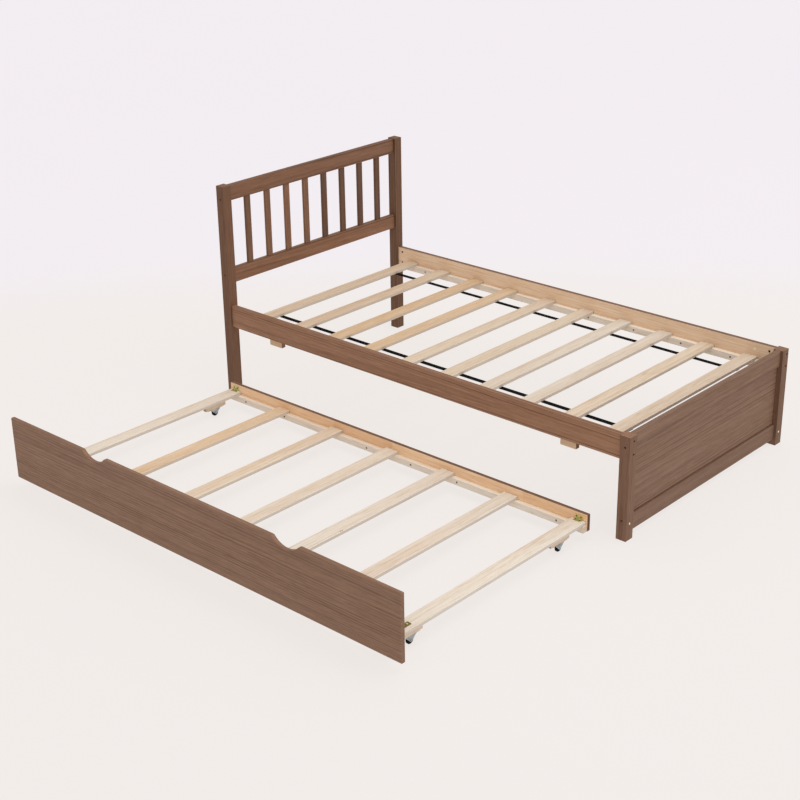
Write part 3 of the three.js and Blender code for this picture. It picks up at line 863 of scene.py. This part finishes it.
def add_strap(word):
    """Webbing along the slats' undersides: flat under each slat and slightly slack between them."""
    low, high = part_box("slat_strap_" + word)
    spans = bed_slat_spans()
    steps = round((high.x - low.x) / STRAP["step"])
    across = (0.0, 0.06, 0.25, 0.5, 0.75, 0.94, 1.0)
    bm = bmesh.new()
    rows = []
    for i in range(steps + 1):
        x = low.x + (high.x - low.x) * i / steps
        row = []
        for level in (0, 1):
            for t in across:
                selvedge = STRAP["selvedge"] if t in (0.0, 1.0) else 0.0
                z = high.z - level * (STRAP["thickness"] - selvedge) - (1 - level) * selvedge
                z -= strap_sag(x, spans)
                row.append(bm.verts.new((x, low.y + (high.y - low.y) * t, z)))
        rows.append(row)
    n = len(across)
    for a, b in zip(rows, rows[1:]):
        for k in range(n - 1):
            bm.faces.new((a[k], a[k + 1], b[k + 1], b[k]))
            bm.faces.new((a[n + k], b[n + k], b[n + k + 1], a[n + k + 1]))
        bm.faces.new((a[0], b[0], b[n], a[n]))
        bm.faces.new((a[n - 1], a[2 * n - 1], b[2 * n - 1], b[n - 1]))
    for row in (rows[0], rows[-1]):
        for k in range(n - 1):
            bm.faces.new((row[k], row[k + 1], row[n + k + 1], row[n + k]))
    strap = add_piece("slat_webbing_" + word, bm, "webbing", "bed")
    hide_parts("slat_strap_" + word)


def strap_sag(x, spans):
    """How far the webbing hangs below the slats at x: nothing under a slat, a little between two."""
    for (_, left), (right, _) in zip(spans, spans[1:]):
        if left.x < x < right.x:
            t = (x - left.x) / (right.x - left.x)
            return STRAP["slack"] * math.sin(math.pi * t)
    return 0.0


STAPLE = {"crown": 0.010, "leg": 0.004, "radius": 0.0003, "bend": 0.0006, "offset": 0.012}


def bent_wire(bm, points, radius, sides=6):
    """A round wire through points that lie in a plane of constant x."""
    loops = []
    for i, point in enumerate(points):
        before = points[max(i - 1, 0)]
        after = points[min(i + 1, len(points) - 1)]
        along = (after - before).normalized()
        across = along.cross(Vector((1, 0, 0)))
        loop = []
        for k in range(sides):
            angle = 2 * math.pi * k / sides
            offset = Vector((1, 0, 0)) * math.cos(angle) + across * math.sin(angle)
            loop.append(bm.verts.new(point + offset * radius))
        loops.append(loop)
    for a, b in zip(loops, loops[1:]):
        for k in range(sides):
            j = (k + 1) % sides
            bm.faces.new((a[k], a[j], b[j], b[k]))
    bm.faces.new(list(reversed(loops[0])))
    bm.faces.new(loops[-1])


def add_staples(word):
    """Two wire staples across the webbing under every slat, their legs driven up into it."""
    low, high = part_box("slat_strap_" + word)
    crown_z = high.z - STRAP["thickness"] + STAPLE["radius"] / 2
    half = STAPLE["crown"] / 2
    bend = STAPLE["bend"]
    outline = [(-half, STAPLE["leg"]), (-half, bend), (-half + bend * 0.3, bend * 0.3), (-half + bend, 0.0)]
    outline += [(-y, z) for y, z in reversed(outline)]
    bm = bmesh.new()
    for slat_low, slat_high in bed_slat_spans():
        for end in (-1, 1):
            x = (slat_low.x + slat_high.x) / 2 + end * STAPLE["offset"]
            middle = (low.y + high.y) / 2
            bent_wire(bm, [Vector((x, middle + y, crown_z + z)) for y, z in outline], STAPLE["radius"])
    add_piece(f"slat_staples_{word}", bm, "zinc", "bed")


# ---------------------------------------------------------------------------------------------
# Stage, light and camera
# ---------------------------------------------------------------------------------------------

def add_floor():
    """A wide pale floor that glows a little, so that shadows on it stay as faint as in a studio cut-out."""
    g = Graph("pale_floor", Emission_Strength=FLOOR_GLOW)
    cloud = g.noise(g.place(), 0.6, 2.0)
    colour = g.mix(cloud, rgb("#5b5958"), rgb("#5a5857"))
    away = g.vector("DISTANCE", g.place(), (CAMERA_PLACE.x, CAMERA_PLACE.y, 0.0))
    far = g.remap(away, *FAR_FLOOR)
    g.feed(g.shader.inputs["Emission Color"], g.mix(far, rgb(STUDIO_COLOUR), rgb(FAR_COLOUR)))
    material = g.finish(colour, g.remap(cloud, 0.0, 1.0, 0.9, 0.98), g.bump(cloud, 0.0, 0.001))
    bpy.ops.mesh.primitive_plane_add(size=FLOOR_SIZE)
    floor = bpy.context.object
    floor.name = "studio_floor"
    floor.data.materials.append(material)


def add_softbox(name, place, target, size, power):
    light = bpy.data.lights.new(name, "AREA")
    light.shape = "SQUARE"
    light.size = size
    light.energy = power
    lamp = bpy.data.objects.new(name, light)
    bpy.context.scene.collection.objects.link(lamp)
    lamp.location = place
    aim = Vector(target) - Vector(place)
    lamp.rotation_euler = aim.to_track_quat("-Z", "Y").to_euler()


def light_studio():
    world = bpy.data.worlds.new("studio")
    world.use_nodes = True
    tree = world.node_tree
    background = tree.nodes["Background"]
    background.inputs["Color"].default_value = rgb(STUDIO_COLOUR)
    direction = tree.nodes.new("ShaderNodeTexCoord").outputs["Generated"]
    lean = tree.nodes.new("ShaderNodeVectorMath")
    lean.operation = "DOT_PRODUCT"
    lean.inputs[1].default_value = SKY_LEAN
    level = tree.nodes.new("ShaderNodeMath")
    level.inputs[1].default_value = 1.0
    tree.links.new(direction, lean.inputs[0])
    tree.links.new(lean.outputs["Value"], level.inputs[0])
    tree.links.new(level.outputs[0], background.inputs["Strength"])
    bpy.context.scene.world = world
    add_softbox("key", **KEY_LIGHT)
    bpy.context.scene.view_settings.view_transform = "Standard"


def add_camera():
    camera_data = bpy.data.cameras.new("camera")
    camera_data.sensor_width = 36.0
    camera_data.lens = CAMERA_LENS_MM
    camera_data.shift_x, camera_data.shift_y = CAMERA_SHIFT
    camera_data.clip_end = 200.0
    camera = bpy.data.objects.new("camera", camera_data)
    bpy.context.scene.collection.objects.link(camera)
    turn = Matrix.Rotation(CAMERA_YAW, 4, "Z") @ Matrix.Rotation(math.pi / 2 + CAMERA_PITCH, 4, "X")
    camera.matrix_world = Matrix.Translation(CAMERA_PLACE) @ turn @ Matrix.Rotation(CAMERA_ROLL, 4, "Z")
    bpy.context.scene.camera = camera


def main():
    rng = random.Random(GRAIN_SEED)
    add_camera()
    light_studio()
    add_floor()
    dress_headboard(rng)
    dress_footboard(rng)
    dress_side_rails(rng)
    dress_slats(rng)
    dress_small_wood(rng)
    dress_front_board(rng)
    dress_metal()
    add_ledger_screws()
    add_bolts()
    add_barrel_nuts()
    add_leg_plugs()
    add_filler()
    add_bracket_screws()
    add_rear_brackets()
    add_caster_screws()
    add_nails()
    for word in ("front", "back"):
        add_strap(word)
        add_staples(word)


main()
